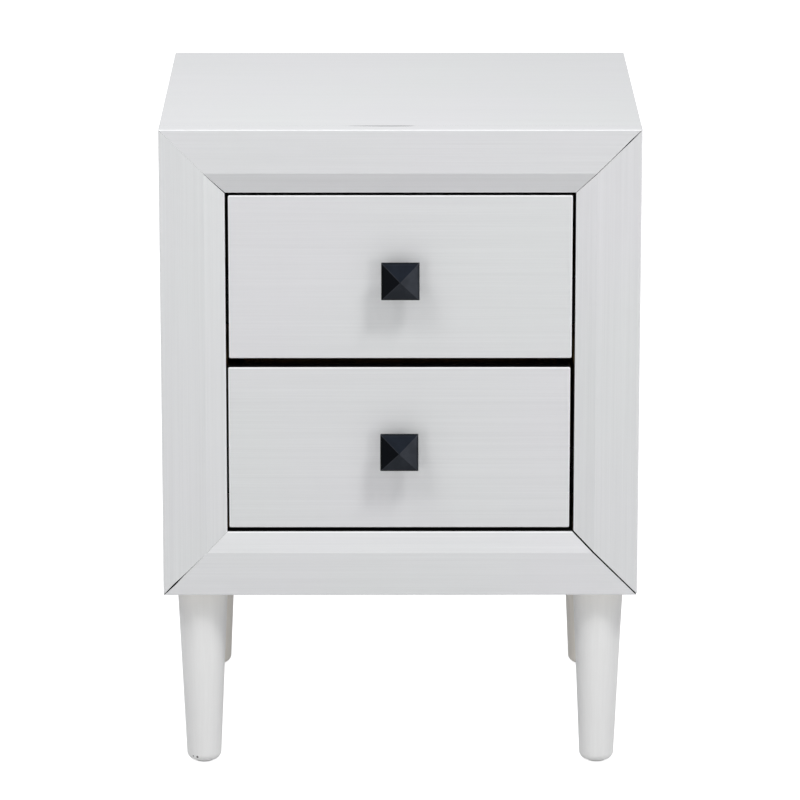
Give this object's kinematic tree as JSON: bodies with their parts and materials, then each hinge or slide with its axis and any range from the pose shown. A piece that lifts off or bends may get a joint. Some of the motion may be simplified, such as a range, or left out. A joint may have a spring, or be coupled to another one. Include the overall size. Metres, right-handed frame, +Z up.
{
  "type": "nightstand",
  "caption": "Bedside cabinet with inset drawers in a mitred, bevelled frame, square pyramid knobs and round tapered legs.",
  "frame": {"origin": "on the floor, at the middle of the width and of the depth, knobs included", "axes": "+X to the right seen from the front, the front faces -Y, +Z up"},
  "size_m": [0.45, 0.4186, 0.625],
  "materials": {
    "case_paint": "white satin paint over brushed wood grain",
    "leg_paint": "white satin paint, smooth",
    "post_pine": "planed pine, unpainted",
    "back_board": "white-faced hardboard",
    "box_birch": "clear-lacquered birch plywood",
    "box_bottom_ply": "thin birch plywood",
    "dowel_wood": "fluted beech",
    "knob_black": "satin black lacquer on cast metal",
    "slide_zinc": "bright zinc-plated rolled steel",
    "fastener_zinc": "zinc-plated steel",
    "insert_brass": "turned brass",
    "glide_plastic": "white moulded nylon"
  },
  "bodies": {
    "case": {"top_panel": "case_paint", "bottom_panel": "case_paint", "left_side_panel": "case_paint", "right_side_panel": "case_paint", "back_panel": "back_board", "frame_top_rail": "case_paint", "frame_bottom_rail": "case_paint", "frame_left_stile": "case_paint", "frame_right_stile": "case_paint", "front_left_post": "post_pine", "front_right_post": "post_pine", "rear_left_post": "post_pine", "rear_right_post": "post_pine", "front_left_leg": "leg_paint", "front_right_leg": "leg_paint", "rear_left_leg": "leg_paint", "rear_right_leg": "leg_paint", "leg_bolts": "fastener_zinc", "leg_inserts": "insert_brass", "leg_glides": "glide_plastic", "mitre_dowels": "dowel_wood", "frame_dowels": "dowel_wood", "case_dowels": "dowel_wood", "post_screws": "fastener_zinc", "back_nails": "fastener_zinc", "cabinet_slide_screws": "fastener_zinc", "upper_left_cabinet_member": "slide_zinc", "upper_right_cabinet_member": "slide_zinc", "lower_left_cabinet_member": "slide_zinc", "lower_right_cabinet_member": "slide_zinc"},
    "upper_drawer": {"upper_left_drawer_member": "slide_zinc", "upper_right_drawer_member": "slide_zinc", "upper_drawer_front": "case_paint", "upper_box_front": "box_birch", "upper_box_back": "box_birch", "upper_box_left": "box_birch", "upper_box_right": "box_birch", "upper_box_bottom": "box_bottom_ply", "upper_knob": "knob_black", "upper_knob_screw": "fastener_zinc", "upper_front_screws": "fastener_zinc", "upper_slide_screws": "fastener_zinc"},
    "lower_drawer": {"lower_left_drawer_member": "slide_zinc", "lower_right_drawer_member": "slide_zinc", "lower_drawer_front": "case_paint", "lower_box_front": "box_birch", "lower_box_back": "box_birch", "lower_box_left": "box_birch", "lower_box_right": "box_birch", "lower_box_bottom": "box_bottom_ply", "lower_knob": "knob_black", "lower_knob_screw": "fastener_zinc", "lower_front_screws": "fastener_zinc", "lower_slide_screws": "fastener_zinc"},
    "upper_middle_slides": {"upper_left_middle_member": "slide_zinc", "upper_right_middle_member": "slide_zinc"},
    "lower_middle_slides": {"lower_left_middle_member": "slide_zinc", "lower_right_middle_member": "slide_zinc"}
  },
  "joints": [
    {"name": "upper_drawer_slide", "type": "slide", "parent": "case", "child": "upper_drawer", "axis": [0, -1, 0], "range_m": [0, 0.33]},
    {"name": "upper_middle_slide", "type": "slide", "parent": "case", "child": "upper_middle_slides", "axis": [0, -1, 0], "range_m": [0, 0.165]},
    {"name": "lower_drawer_slide", "type": "slide", "parent": "case", "child": "lower_drawer", "axis": [0, -1, 0], "range_m": [0, 0.33]},
    {"name": "lower_middle_slide", "type": "slide", "parent": "case", "child": "lower_middle_slides", "axis": [0, -1, 0], "range_m": [0, 0.165]}
  ],
  "couplings": [
    {"joint": "upper_middle_slide", "follows": "upper_drawer_slide", "ratio": 0.5},
    {"joint": "lower_middle_slide", "follows": "lower_drawer_slide", "ratio": 0.5}
  ]
}
